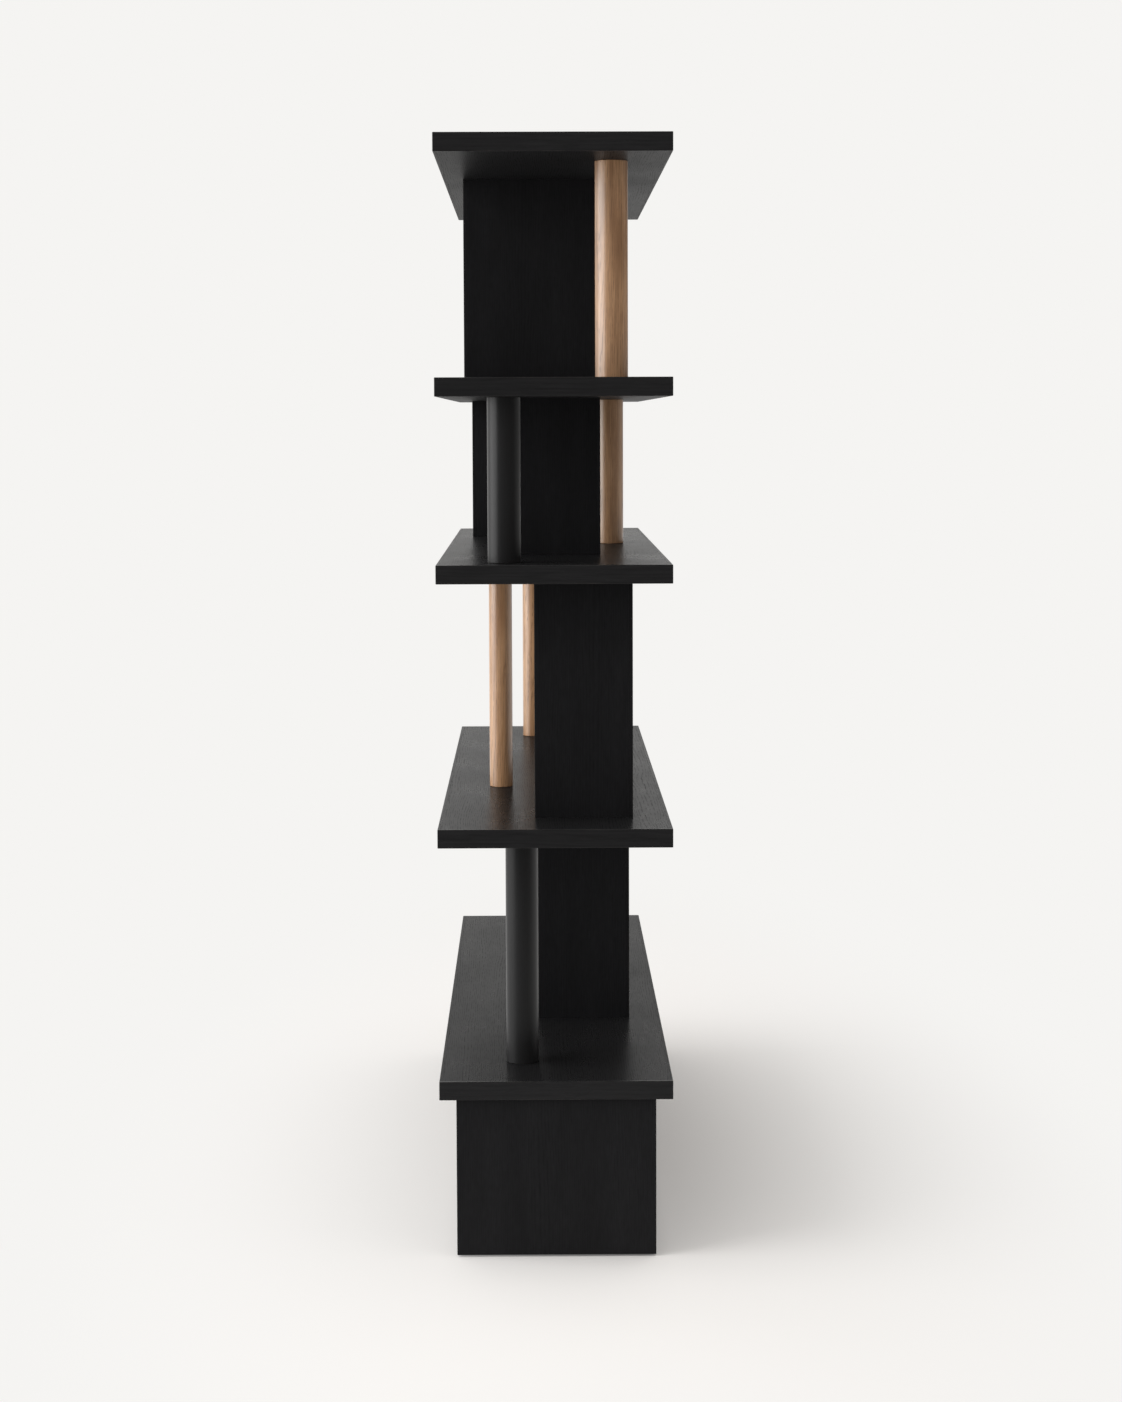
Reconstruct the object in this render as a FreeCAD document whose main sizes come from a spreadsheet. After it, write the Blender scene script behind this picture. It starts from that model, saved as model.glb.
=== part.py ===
import FreeCAD, Part
import math
import os
from typing import NamedTuple

import Sketcher

# Spine bookshelf: five shelves on staggered panels and posts, standing on a closed plinth.
# Millimetres, +Z up. The origin is on the floor under the middle of the bookshelf.
# X runs along the shelves, with the near end at +X, and Y runs across them.

Vector = FreeCAD.Vector

# Driving lengths
LENGTHS = {
    "shelf_length": 1500,
    "shelf_depth": 350,
    "board_thick": 28,
    "lip_thick": 5,
    "arris": 1,
    "level_1_clear": 352,
    "level_2_clear": 364,
    "level_3_clear": 247,
    "level_4_clear": 326,
    "panel_thick": 28,
    "narrow_panel_width": 150,
    "wide_panel_width": 240,
    "thick_post_dia": 50,
    "thin_post_dia": 38,
    "blind_web": 4,
    "fit_gap": 0.1,
    "bore_end_gap": 1,
    "dowel_dia": 10,
    "dowel_grip": 30,
    "dowel_inset": 35,
    "stud_dia": 8,
    "stud_grip": 40,
    "sleeve_dia": 12,
    "base_end_inset": 12,
    "base_side_inset": 25,
    "base_height": 240,
    "base_board_thick": 22,
    "rib_thick": 18,
    "rib_dowel_dia": 8,
    "rib_dowel_grip": 25,
    "cleat_width": 25,
    "cleat_height": 30,
    "block_leg": 40,
    "screw_dia": 4.5,
    "screw_head_dia": 9,
    "felt_dia": 20,
    "felt_thick": 3,
    "cut_overrun": 2,
}

# Where each upright stands: its share of the shelf length, counted from the near end,
# and its share of the shelf depth, counted from the middle of the shelf
PLACE_SHARES = {
    "level_1_black_post": (0.0973, -0.1449),
    "level_1_near_panel": (0.326, 0.1403),
    "level_1_oak_post": (0.57, 0.2286),
    "level_1_far_panel": (0.84, 0.0714),
    "level_2_near_panel": (0.098, 0.1276),
    "level_2_oak_post_1": (0.3553, -0.2457),
    "level_2_far_panel": (0.62, 0.168),
    "level_2_oak_post_2": (0.8847, -0.0966),
    "level_3_black_post": (0.0523, -0.212),
    "level_3_narrow_panel": (0.236, 0.001),
    "level_3_oak_post": (0.52, 0.2837),
    "level_3_wide_panel": (0.7307, -0.0629),
    "level_4_oak_post": (0.1133, 0.2544),
    "level_4_wide_panel": (0.3533, -0.0654),
    "level_4_black_post": (0.6, -0.23),
    "level_4_narrow_panel": (0.83, 0.09),
}

# Places inside the plinth: ribs, screws and pads along its length, dowels up a rib's side
RIB_SHARES = {"base_rib_near": 0.333, "base_rib_far": 0.667}
SCREW_SHARES = (0.08, 0.5, 0.92)
FELT_SHARES = (0.05, 0.5, 0.95)
RIB_DOWEL_SHARES = (0.25, 0.75)

# The two sides of a middle line, as shares of a half size
SIDE_SHARES = (-1, 1)

SHELVES = ("bottom_shelf", "lower_shelf", "middle_shelf", "upper_shelf", "top_shelf")
LEVELS = ("level_1", "level_2", "level_3", "level_4")

# The way that each board of the plinth faces
BASE_FACINGS = {
    "base_end_near": Vector(1, 0, 0),
    "base_end_far": Vector(-1, 0, 0),
    "base_side_left": Vector(0, -1, 0),
    "base_side_right": Vector(0, 1, 0),
}


class Upright(NamedTuple):
    """One panel or post: the level it stands on and the value that holds its width or diameter."""

    name: str
    level: str
    size: str


class Bore(NamedTuple):
    """One round hole in a flat face: its centre and diameter, as expressions."""

    x: str
    y: str
    dia: str


PANELS = (
    Upright("level_1_near_panel", "level_1", "narrow_panel_width"),
    Upright("level_1_far_panel", "level_1", "narrow_panel_width"),
    Upright("level_2_near_panel", "level_2", "narrow_panel_width"),
    Upright("level_2_far_panel", "level_2", "narrow_panel_width"),
    Upright("level_3_narrow_panel", "level_3", "narrow_panel_width"),
    Upright("level_3_wide_panel", "level_3", "wide_panel_width"),
    Upright("level_4_wide_panel", "level_4", "wide_panel_width"),
    Upright("level_4_narrow_panel", "level_4", "narrow_panel_width"),
)
POSTS = (
    Upright("level_1_black_post", "level_1", "thick_post_dia"),
    Upright("level_1_oak_post", "level_1", "thick_post_dia"),
    Upright("level_2_oak_post_1", "level_2", "thin_post_dia"),
    Upright("level_2_oak_post_2", "level_2", "thin_post_dia"),
    Upright("level_3_black_post", "level_3", "thick_post_dia"),
    Upright("level_3_oak_post", "level_3", "thick_post_dia"),
    Upright("level_4_oak_post", "level_4", "thick_post_dia"),
    Upright("level_4_black_post", "level_4", "thick_post_dia"),
)

doc = FreeCAD.newDocument("spine_bookshelf")
sheet = doc.addObject("Spreadsheet::Sheet", "Sizes")
nodes = []


def fill_sheet():
    """Writes every driving value into the sheet, one row each, with its name as alias."""
    values = dict(LENGTHS)
    for name, (along, across) in PLACE_SHARES.items():
        values[f"{name}_along_share"] = along
        values[f"{name}_across_share"] = across
    for row, (alias, value) in enumerate(values.items(), start=1):
        sheet.set(f"A{row}", alias)
        sheet.set(f"B{row}", str(value))
        sheet.setAlias(f"B{row}", alias)
    doc.recompute()


def size(alias):
    """The expression that reads one value of the sheet."""
    return f"Sizes.{alias}"


def value_of(expression):
    """The present value of an expression."""
    return float(sheet.evalExpression(expression))


# Sizes that several pieces share, worked out from the driving values
BLIND_DEPTH = f"(({size('board_thick')} - {size('blind_web')}) / 2)"
DOWEL_BORE_DIA = f"({size('dowel_dia')} + 2 * {size('fit_gap')})"
STUD_BORE_DIA = f"({size('stud_dia')} + 2 * {size('fit_gap')})"
SLEEVE_BORE_DIA = f"({size('sleeve_dia')} + 2 * {size('fit_gap')})"
RIB_DOWEL_BORE_DIA = f"({size('rib_dowel_dia')} + 2 * {size('fit_gap')})"
SCREW_BORE_DIA = f"({size('screw_dia')} + 2 * {size('fit_gap')})"
BASE_LENGTH = f"({size('shelf_length')} - 2 * {size('base_end_inset')})"
BASE_WIDTH = f"({size('shelf_depth')} - 2 * {size('base_side_inset')})"
BASE_INNER_LENGTH = f"({BASE_LENGTH} - 2 * {size('base_board_thick')})"
BASE_INNER_WIDTH = f"({BASE_WIDTH} - 2 * {size('base_board_thick')})"
BASE_BOTTOM = size("felt_thick")
BASE_TOP = f"({size('felt_thick')} + {size('base_height')})"
CLEAT_BOTTOM = f"({BASE_TOP} - {size('cleat_height')})"
CLEAT_MIDDLE = f"({BASE_INNER_WIDTH} / 2 - {size('cleat_width')} / 2)"
RIB_DOWEL_SEAT = f"({size('base_board_thick')} - {size('blind_web')})"


def clear_height(level):
    """The height between the two shelves of a level."""
    return size(f"{level}_clear")


def underside(shelf):
    """The height of a shelf's underside, counted from the bottom shelf as 0."""
    terms = [BASE_TOP]
    for level in LEVELS[:shelf]:
        terms += [size("board_thick"), clear_height(level)]
    return "(" + " + ".join(terms) + ")"


def along(name):
    """The X of an upright's middle."""
    return f"({size('shelf_length')} * (1 / 2 - {size(name + '_along_share')}))"


def across(name):
    """The Y of an upright's middle."""
    return f"({size('shelf_depth')} * {size(name + '_across_share')})"


def foot(level):
    """The height of the shelf top that a level's uprights stand on."""
    return f"({underside(LEVELS.index(level))} + {size('board_thick')})"


def ceiling(level):
    """The height of the shelf underside that a level's uprights reach up to."""
    return underside(LEVELS.index(level) + 1)


def dowel_places(panel):
    """The X and Y of the two dowels in each end of a panel."""
    offset = f"({size(panel.size)} / 2 - {size('dowel_inset')})"
    return [(along(panel.name), f"({across(panel.name)} + {side} * {offset})") for side in SIDE_SHARES]


def screw_places():
    """The X and Y of the screws that hold the plinth to the bottom shelf."""
    places = []
    for side in SIDE_SHARES:
        for share in SCREW_SHARES:
            places.append((f"({BASE_INNER_LENGTH} * ({share} - 1 / 2))", f"({side} * {CLEAT_MIDDLE})"))
    return places


def place(obj, x="0", y="0", z="0"):
    """Binds an object's position to the sheet."""
    obj.setExpression("Placement.Base.x", x)
    obj.setExpression("Placement.Base.y", y)
    obj.setExpression("Placement.Base.z", z)


def keep(obj, label, solids=1):
    """Names a sub-part and lists it for writing, with the number of solids it must hold."""
    obj.Label = label
    nodes.append((obj, solids))
    return obj


def add_body(name):
    """A new body with a plain name."""
    return doc.addObject("PartDesign::Body", name)


def add_sketch(body, name, plane="XY_Plane", offset=None):
    """A sketch on one of its body's own origin planes, lifted by an expression where one is given."""
    sketch = body.newObject("Sketcher::SketchObject", name)
    support = next(feature for feature in body.Origin.OriginFeatures if feature.Role == plane)
    sketch.AttachmentSupport = (support, "")
    sketch.MapMode = "FlatFace"
    if offset:
        sketch.setExpression("AttachmentOffset.Base.z", offset)
    return sketch


def bind(sketch, constraint, expression):
    """Adds a dimension to a sketch and binds it to the sheet."""
    index = sketch.addConstraint(constraint)
    sketch.setExpression(f"Constraints[{index}]", expression)


def draw_outline(sketch, points):
    """Draws a closed outline through points that are given as expressions."""
    corners = [Vector(value_of(x), value_of(y), 0) for x, y in points]
    first = sketch.GeometryCount
    count = len(corners)
    for index, corner in enumerate(corners):
        sketch.addGeometry(Part.LineSegment(corner, corners[(index + 1) % count]), False)
    for index in range(count):
        sketch.addConstraint(
            Sketcher.Constraint("Coincident", first + index, 2, first + (index + 1) % count, 1)
        )
    for index, (x, y) in enumerate(points):
        line = first + index
        bind(sketch, Sketcher.Constraint("DistanceX", -1, 1, line, 1, corners[index].x), x)
        bind(sketch, Sketcher.Constraint("DistanceY", -1, 1, line, 1, corners[index].y), y)


def rectangle(width, height, x="0", y="0"):
    """The corners of a rectangle about a middle point, as expressions."""
    return [
        (f"{x} + {sx} * {width} / 2", f"{y} + {sy} * {height} / 2")
        for sx, sy in ((-1, -1), (1, -1), (1, 1), (-1, 1))
    ]


def draw_circle(sketch, bore):
    """Draws a circle whose centre and diameter are given as expressions."""
    centre = Vector(value_of(bore.x), value_of(bore.y), 0)
    radius = value_of(bore.dia) / 2
    index = sketch.addGeometry(Part.Circle(centre, Vector(0, 0, 1), radius), False)
    bind(sketch, Sketcher.Constraint("DistanceX", -1, 1, index, 3, centre.x), bore.x)
    bind(sketch, Sketcher.Constraint("DistanceY", -1, 1, index, 3, centre.y), bore.y)
    bind(sketch, Sketcher.Constraint("Diameter", index, 2 * radius), bore.dia)


def pad(body, sketch, length, name="Thickness", midplane=False):
    """Pads a sketch by a bound length."""
    feature = body.newObject("PartDesign::Pad", name)
    feature.Profile = sketch
    feature.Midplane = midplane
    feature.setExpression("Length", length)
    doc.recompute()
    return feature


def bore_face(body, name, bores, depth, lift=None):
    """Sinks round holes into a body: down from the lifted face, or up from its bottom face."""
    before = body.Shape.Volume
    sketch = add_sketch(body, f"{name}_places", offset=lift)
    for bore in bores:
        draw_circle(sketch, bore)
    pocket = body.newObject("PartDesign::Pocket", name)
    pocket.Profile = sketch
    pocket.Reversed = lift is None
    pocket.setExpression("Length", depth)
    doc.recompute()
    wanted = sum(math.pi / 4 * value_of(bore.dia) ** 2 for bore in bores) * value_of(depth)
    if not math.isclose(before - body.Shape.Volume, wanted, rel_tol=1e-3):
        raise RuntimeError(f"{body.Name}: {name} took away the wrong volume")


def ease(body, base, wanted):
    """Rounds the edges of a body's last feature that a test picks."""
    names = [f"Edge{index}" for index, edge in enumerate(base.Shape.Edges, start=1) if wanted(edge)]
    rounding = body.newObject("PartDesign::Fillet", "Eased_arris")
    rounding.Base = (base, names)
    rounding.setExpression("Radius", size("arris"))
    doc.recompute()


def cylinder(name, dia, height, x, y, z):
    """An upright round bar with its foot at the given place."""
    bar = doc.addObject("Part::Cylinder", name)
    bar.setExpression("Radius", f"{dia} / 2")
    bar.setExpression("Height", height)
    place(bar, x, y, z)
    return bar


def cross_bar(name, dia, height, x, y, z):
    """A round bar that runs along +Y from the given place."""
    bar = cylinder(name, dia, height, x, y, z)
    bar.Placement.Rotation = FreeCAD.Rotation(Vector(0, 0, 1), Vector(0, 1, 0))
    return bar


def group(label, pieces):
    """One sub-part of several separate pieces that are alike."""
    compound = doc.addObject("Part::Compound", label)
    compound.Links = pieces
    return keep(compound, label, len(pieces))


def cut(label, base, tools):
    """A sub-part that is a base shape with several tools taken away."""
    tool = doc.addObject("Part::Compound", f"{label}_tools")
    tool.Links = tools
    result = doc.addObject("Part::Cut", label)
    result.Base = base
    result.Tool = tool
    return keep(result, label)


def build_shelf_board(shelf, name):
    """The veneered core of a shelf, bored for the uprights above and below it."""
    body = keep(add_body(name), name)
    outline = add_sketch(body, "Outline")
    length = f"({size('shelf_length')} - 2 * {size('lip_thick')})"
    depth = f"({size('shelf_depth')} - 2 * {size('lip_thick')})"
    draw_outline(outline, rectangle(length, depth))
    pad(body, outline, size("board_thick"))

    def bores_of(level):
        bores = []
        for panel in PANELS:
            if panel.level == level:
                bores += [Bore(x, y, DOWEL_BORE_DIA) for x, y in dowel_places(panel)]
        for post in POSTS:
            if post.level == level:
                bores.append(Bore(along(post.name), across(post.name), SLEEVE_BORE_DIA))
        return bores

    if name != SHELVES[-1]:
        bore_face(body, "Upper_bores", bores_of(LEVELS[shelf]), BLIND_DEPTH, lift=size("board_thick"))
    if name != SHELVES[0]:
        bore_face(body, "Lower_bores", bores_of(LEVELS[shelf - 1]), BLIND_DEPTH)
    else:
        bore_face(body, "Screw_bores", [Bore(x, y, SCREW_BORE_DIA) for x, y in screw_places()], BLIND_DEPTH)
    place(body, z=underside(shelf))


def build_end_lippings(shelf, name):
    """The two lippings that cover a shelf's ends over its whole depth."""
    body = keep(add_body(f"{name}_end_lippings"), f"{name}_end_lippings", 2)
    outline = add_sketch(body, "Outline")
    for side in SIDE_SHARES:
        middle = f"({side} * ({size('shelf_length')} - {size('lip_thick')}) / 2)"
        draw_outline(outline, rectangle(size("lip_thick"), size("shelf_depth"), x=middle))
    strips = pad(body, outline, size("board_thick"))
    inner = value_of(f"{size('shelf_length')} / 2 - {size('lip_thick')}")

    def off_the_inner_face(edge):
        return edge.BoundBox.XMax > inner + edge.Tolerance or edge.BoundBox.XMin < -inner - edge.Tolerance

    ease(body, strips, off_the_inner_face)
    place(body, z=underside(shelf))


def build_side_lippings(shelf, name):
    """The two lippings along a shelf's sides, between the end lippings."""
    body = keep(add_body(f"{name}_side_lippings"), f"{name}_side_lippings", 2)
    outline = add_sketch(body, "Outline")
    length = f"({size('shelf_length')} - 2 * {size('lip_thick')})"
    for side in SIDE_SHARES:
        middle = f"({side} * ({size('shelf_depth')} - {size('lip_thick')}) / 2)"
        draw_outline(outline, rectangle(length, size("lip_thick"), y=middle))
    strips = pad(body, outline, size("board_thick"))
    middle_line = value_of(f"{size('shelf_depth')} / 2 - {size('lip_thick')} / 2")

    def along_the_outer_face(edge):
        box = edge.BoundBox
        return box.XLength > box.ZLength and box.XLength > box.YLength and abs(box.Center.y) > middle_line

    ease(body, strips, along_the_outer_face)
    place(body, z=underside(shelf))


def build_panel(panel):
    """A panel's veneered core, bored at both ends for its dowels."""
    body = keep(add_body(panel.name), panel.name)
    outline = add_sketch(body, "Outline")
    clear = clear_height(panel.level)
    draw_outline(outline, rectangle(size("panel_thick"), f"({size(panel.size)} - 2 * {size('lip_thick')})"))
    pad(body, outline, clear, "Height")
    offset = f"({size(panel.size)} / 2 - {size('dowel_inset')})"
    bores = [Bore("0", f"({side} * {offset})", DOWEL_BORE_DIA) for side in SIDE_SHARES]
    bore_face(body, "Upper_bores", bores, size("dowel_grip"), lift=clear)
    bore_face(body, "Lower_bores", bores, size("dowel_grip"))
    place(body, along(panel.name), across(panel.name), foot(panel.level))


def build_panel_lippings(panel):
    """The two lippings on a panel's upright edges."""
    body = keep(add_body(f"{panel.name}_lippings"), f"{panel.name}_lippings", 2)
    outline = add_sketch(body, "Outline")
    for side in SIDE_SHARES:
        middle = f"({side} * ({size(panel.size)} - {size('lip_thick')}) / 2)"
        draw_outline(outline, rectangle(size("panel_thick"), size("lip_thick"), y=middle))
    strips = pad(body, outline, clear_height(panel.level), "Height")
    middle_line = value_of(f"{size(panel.size)} / 2 - {size('lip_thick')} / 2")

    def upright_and_outer(edge):
        box = edge.BoundBox
        return box.ZLength > box.XLength and box.ZLength > box.YLength and abs(box.Center.y) > middle_line

    ease(body, strips, upright_and_outer)
    place(body, along(panel.name), across(panel.name), foot(panel.level))


def build_post(post):
    """A turned post with eased ends, bored at both ends for its studs."""
    body = keep(add_body(post.name), post.name)
    outline = add_sketch(body, "Outline")
    clear = clear_height(post.level)
    draw_circle(outline, Bore("0", "0", size(post.size)))
    bar = pad(body, outline, clear, "Height")
    ease(body, bar, lambda edge: isinstance(edge.Curve, Part.Circle))
    bore = [Bore("0", "0", STUD_BORE_DIA)]
    bore_face(body, "Upper_bore", bore, size("stud_grip"), lift=clear)
    bore_face(body, "Lower_bore", bore, size("stud_grip"))
    place(body, along(post.name), across(post.name), foot(post.level))


def build_panel_dowels():
    """The wooden dowels, half in a panel's end and half in the shelf that it meets."""
    length = f"({BLIND_DEPTH} + {size('dowel_grip')} - 2 * {size('bore_end_gap')})"
    dowels = []
    for panel in PANELS:
        heights = (
            f"{foot(panel.level)} - {BLIND_DEPTH} + {size('bore_end_gap')}",
            f"{ceiling(panel.level)} - {size('dowel_grip')} + {size('bore_end_gap')}",
        )
        for x, y in dowel_places(panel):
            dowels += [cylinder("Dowel", size("dowel_dia"), length, x, y, z) for z in heights]
    group("panel_dowels", dowels)


def build_post_studs():
    """The steel studs in the posts' ends and the sleeves in the shelves that take them."""
    stud_length = f"({BLIND_DEPTH} + {size('stud_grip')} - 2 * {size('bore_end_gap')})"
    sleeve_length = f"({BLIND_DEPTH} - {size('bore_end_gap')})"
    studs = []
    sleeves = []
    for post in POSTS:
        x = along(post.name)
        y = across(post.name)
        shelf_below = foot(post.level)
        shelf_above = ceiling(post.level)
        stud_heights = (
            f"{shelf_below} - {BLIND_DEPTH} + {size('bore_end_gap')}",
            f"{shelf_above} - {size('stud_grip')} + {size('bore_end_gap')}",
        )
        studs += [cylinder("Stud", size("stud_dia"), stud_length, x, y, z) for z in stud_heights]
        for z in (f"{shelf_below} - {sleeve_length}", shelf_above):
            sleeve = add_body("Sleeve")
            ring = add_sketch(sleeve, "Ring")
            draw_circle(ring, Bore("0", "0", size("sleeve_dia")))
            draw_circle(ring, Bore("0", "0", STUD_BORE_DIA))
            pad(sleeve, ring, sleeve_length, "Height")
            place(sleeve, x, y, z)
            sleeves.append(sleeve)
    group("post_studs", studs)
    group("stud_sleeves", sleeves)


def mitred_outline(run, thick, wide):
    """A mitred board seen from above, outer face along +Y, with the tips of its mitres eased."""
    half = f"{run} / 2"
    face = f"{wide} / 2"
    right = [
        (f"{half} - {thick}", f"{face} - {thick}"),
        (f"{half} - {size('arris')} / 2", f"{face} - {size('arris')} / 2"),
        (f"{half} - {size('arris')}", face),
    ]
    left = [(f"-({x})", y) for x, y in reversed(right)]
    return right + left


def build_base_board(name, run, wide):
    """One mitred board of the plinth, drawn with its outer face along +Y and turned the way it faces."""
    facing = BASE_FACINGS[name]
    turn = math.degrees(math.atan2(-facing.x, facing.y))
    body = add_body(f"{name}_board")
    outline = add_sketch(body, "Outline")
    draw_outline(outline, mitred_outline(run, size("base_board_thick"), wide))
    pad(body, outline, size("base_height"), "Height")
    body.Placement.Rotation = FreeCAD.Rotation(Vector(0, 0, 1), turn)
    place(body, z=BASE_BOTTOM)
    return body


def rib_dowel_places():
    """The X and Z of the dowels that hold the ribs."""
    rise = f"({size('base_height')} - {size('cleat_height')})"
    places = []
    for share in RIB_SHARES.values():
        for up_share in RIB_DOWEL_SHARES:
            places.append((f"({BASE_LENGTH} * (1 / 2 - {share}))", f"({BASE_BOTTOM} + {up_share} * {rise})"))
    return places


def build_base_boards():
    """The four mitred boards of the plinth, the long ones bored for the rib dowels."""
    for name in ("base_end_near", "base_end_far"):
        keep(build_base_board(name, BASE_WIDTH, BASE_LENGTH), name)
    depth = f"({RIB_DOWEL_SEAT} + {size('cut_overrun')})"
    inner = f"({BASE_INNER_WIDTH} / 2)"
    starts = {
        "base_side_left": f"(-{inner} - {RIB_DOWEL_SEAT})",
        "base_side_right": f"({inner} - {size('cut_overrun')})",
    }
    for name, start in starts.items():
        board = build_base_board(name, BASE_LENGTH, BASE_WIDTH)
        tools = [cross_bar("Bore", RIB_DOWEL_BORE_DIA, depth, x, start, z) for x, z in rib_dowel_places()]
        cut(name, board, tools)


def build_base_ribs():
    """The cross ribs of the plinth, notched at their upper corners to let the cleats pass."""
    half = f"{BASE_INNER_WIDTH} / 2"
    notch_side = f"({half} - {size('cleat_width')} - {size('fit_gap')})"
    notch_foot = f"({size('base_height')} - {size('cleat_height')} - {size('fit_gap')})"
    right = [
        (half, "0"),
        (half, notch_foot),
        (notch_side, notch_foot),
        (notch_side, size("base_height")),
    ]
    left = [(f"-({y})", z) for y, z in reversed(right)]
    depth = f"({size('rib_dowel_grip')} + {size('cut_overrun')})"
    starts = (f"(-{half} - {size('cut_overrun')})", f"({half} - {size('rib_dowel_grip')})")
    for name, share in RIB_SHARES.items():
        middle = f"({BASE_LENGTH} * (1 / 2 - {share}))"
        body = add_body(f"{name}_board")
        outline = add_sketch(body, "Outline", "YZ_Plane")
        draw_outline(outline, right + left)
        pad(body, outline, size("rib_thick"), midplane=True)
        place(body, x=middle, z=BASE_BOTTOM)
        tools = []
        for start in starts:
            for x, z in rib_dowel_places():
                if x == middle:
                    tools.append(cross_bar("Bore", RIB_DOWEL_BORE_DIA, depth, x, start, z))
        cut(name, body, tools)


def build_rib_dowels():
    """The dowels between the ribs and the long boards of the plinth."""
    half = f"({BASE_INNER_WIDTH} / 2)"
    length = f"({RIB_DOWEL_SEAT} + {size('rib_dowel_grip')} - 2 * {size('bore_end_gap')})"
    starts = (
        f"(-{half} - {RIB_DOWEL_SEAT} + {size('bore_end_gap')})",
        f"({half} - {size('rib_dowel_grip')} + {size('bore_end_gap')})",
    )
    dowels = []
    for start in starts:
        dowels += [
            cross_bar("Rib_dowel", size("rib_dowel_dia"), length, x, start, z) for x, z in rib_dowel_places()
        ]
    group("rib_dowels", dowels)


def countersink(name, wide_dia, narrow_dia, x, y, z):
    """The cone of a countersunk head, wide end down, with its sides at 45 degrees."""
    cone = doc.addObject("Part::Cone", name)
    cone.setExpression("Radius1", f"{wide_dia} / 2")
    cone.setExpression("Radius2", f"{narrow_dia} / 2")
    cone.setExpression("Height", f"({wide_dia} - {narrow_dia}) / 2")
    place(cone, x, y, z)
    return cone


def build_cleats():
    """The long cleats under the bottom shelf, bored and countersunk for its screws."""
    head_dia = f"({size('screw_head_dia')} + 2 * {size('fit_gap')})"
    for name, side in zip(("base_cleat_left", "base_cleat_right"), SIDE_SHARES):
        bar = doc.addObject("Part::Box", f"{name}_bar")
        bar.setExpression("Length", BASE_INNER_LENGTH)
        bar.setExpression("Width", size("cleat_width"))
        bar.setExpression("Height", size("cleat_height"))
        place(
            bar,
            f"-{BASE_INNER_LENGTH} / 2",
            f"({side} * {CLEAT_MIDDLE} - {size('cleat_width')} / 2)",
            CLEAT_BOTTOM,
        )
        tools = []
        through = f"({size('cleat_height')} + 2 * {size('cut_overrun')})"
        shank_foot = f"{CLEAT_BOTTOM} - {size('cut_overrun')}"
        for x, y in screw_places():
            if value_of(y) * side > 0:
                shank = cylinder("Shank", SCREW_BORE_DIA, through, x, y, shank_foot)
                head = countersink("Countersink", head_dia, SCREW_BORE_DIA, x, y, CLEAT_BOTTOM)
                bore = doc.addObject("Part::Fuse", "Screw_bore")
                bore.Base = shank
                bore.Tool = head
                tools.append(bore)
        cut(name, bar, tools)


def build_screws():
    """The countersunk screws that go up through the cleats into the bottom shelf."""
    length = f"({size('cleat_height')} + {BLIND_DEPTH} - {size('bore_end_gap')})"
    screws = []
    for x, y in screw_places():
        shank = cylinder("Shank", size("screw_dia"), length, x, y, CLEAT_BOTTOM)
        head = countersink("Head", size("screw_head_dia"), size("screw_dia"), x, y, CLEAT_BOTTOM)
        screw = doc.addObject("Part::Fuse", "Screw")
        screw.Base = shank
        screw.Tool = head
        screws.append(screw)
    group("base_screws", screws)


def build_corner_blocks():
    """The three-cornered blocks glued into the plinth's corners, below the cleats."""
    height = f"({size('base_height')} - {size('cleat_height')})"
    blocks = []
    for end in SIDE_SHARES:
        for side in SIDE_SHARES:
            x = f"({end} * {BASE_INNER_LENGTH} / 2)"
            y = f"({side} * {BASE_INNER_WIDTH} / 2)"
            legs = [
                (x, y),
                (f"{x} - {end} * {size('block_leg')}", y),
                (x, f"{y} - {side} * {size('block_leg')}"),
            ]
            block = add_body("Corner_block")
            outline = add_sketch(block, "Outline")
            draw_outline(outline, legs)
            pad(block, outline, height, "Height")
            place(block, z=BASE_BOTTOM)
            blocks.append(block)
    group("corner_blocks", blocks)


def build_felt_pads():
    """The felt pads that the plinth stands on, under its long boards."""
    offset = f"({BASE_WIDTH} / 2 - {size('base_board_thick')} / 2)"
    pads = []
    for side in SIDE_SHARES:
        for share in FELT_SHARES:
            x = f"({BASE_LENGTH} * ({share} - 1 / 2))"
            pads.append(cylinder("Pad", size("felt_dia"), size("felt_thick"), x, f"({side} * {offset})", "0"))
    group("felt_pads", pads)


def check_and_write():
    """Checks every object and every sub-part's shape, then writes one file for each sub-part."""
    doc.recompute()
    for obj in doc.Objects:
        if "Invalid" in obj.State or "Error" in obj.State:
            raise RuntimeError(f"{obj.Label} failed: {obj.State}")
    for obj, solids in nodes:
        shape = obj.Shape
        if shape.isNull() or not shape.isValid() or len(shape.Solids) != solids:
            raise RuntimeError(f"{obj.Label} has a bad shape")
    os.makedirs("parts", exist_ok=True)
    for obj, _ in nodes:
        obj.Shape.exportStep(f"parts/{obj.Label}.step")
    print(f"{len(nodes)} sub-parts written")


fill_sheet()
for shelf_number, shelf_name in enumerate(SHELVES):
    build_shelf_board(shelf_number, shelf_name)
    build_end_lippings(shelf_number, shelf_name)
    build_side_lippings(shelf_number, shelf_name)
for upright in PANELS:
    build_panel(upright)
    build_panel_lippings(upright)
for upright in POSTS:
    build_post(upright)
build_panel_dowels()
build_post_studs()
build_base_boards()
build_base_ribs()
build_rib_dowels()
build_cleats()
build_screws()
build_corner_blocks()
build_felt_pads()
check_and_write()
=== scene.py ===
"""Looks of the spine bookshelf: stained shelves on staggered panels and turned posts, over a closed plinth.

Metres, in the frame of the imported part: X along the shelves with the near end at +X, Y across them, Z up.
"""

import logging
import math
from contextlib import contextmanager
from dataclasses import dataclass, field, replace
from enum import Enum
from typing import Callable, ClassVar, Iterator, Optional, Union

import bmesh
import bpy
from mathutils import Color, Matrix, Vector


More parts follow.
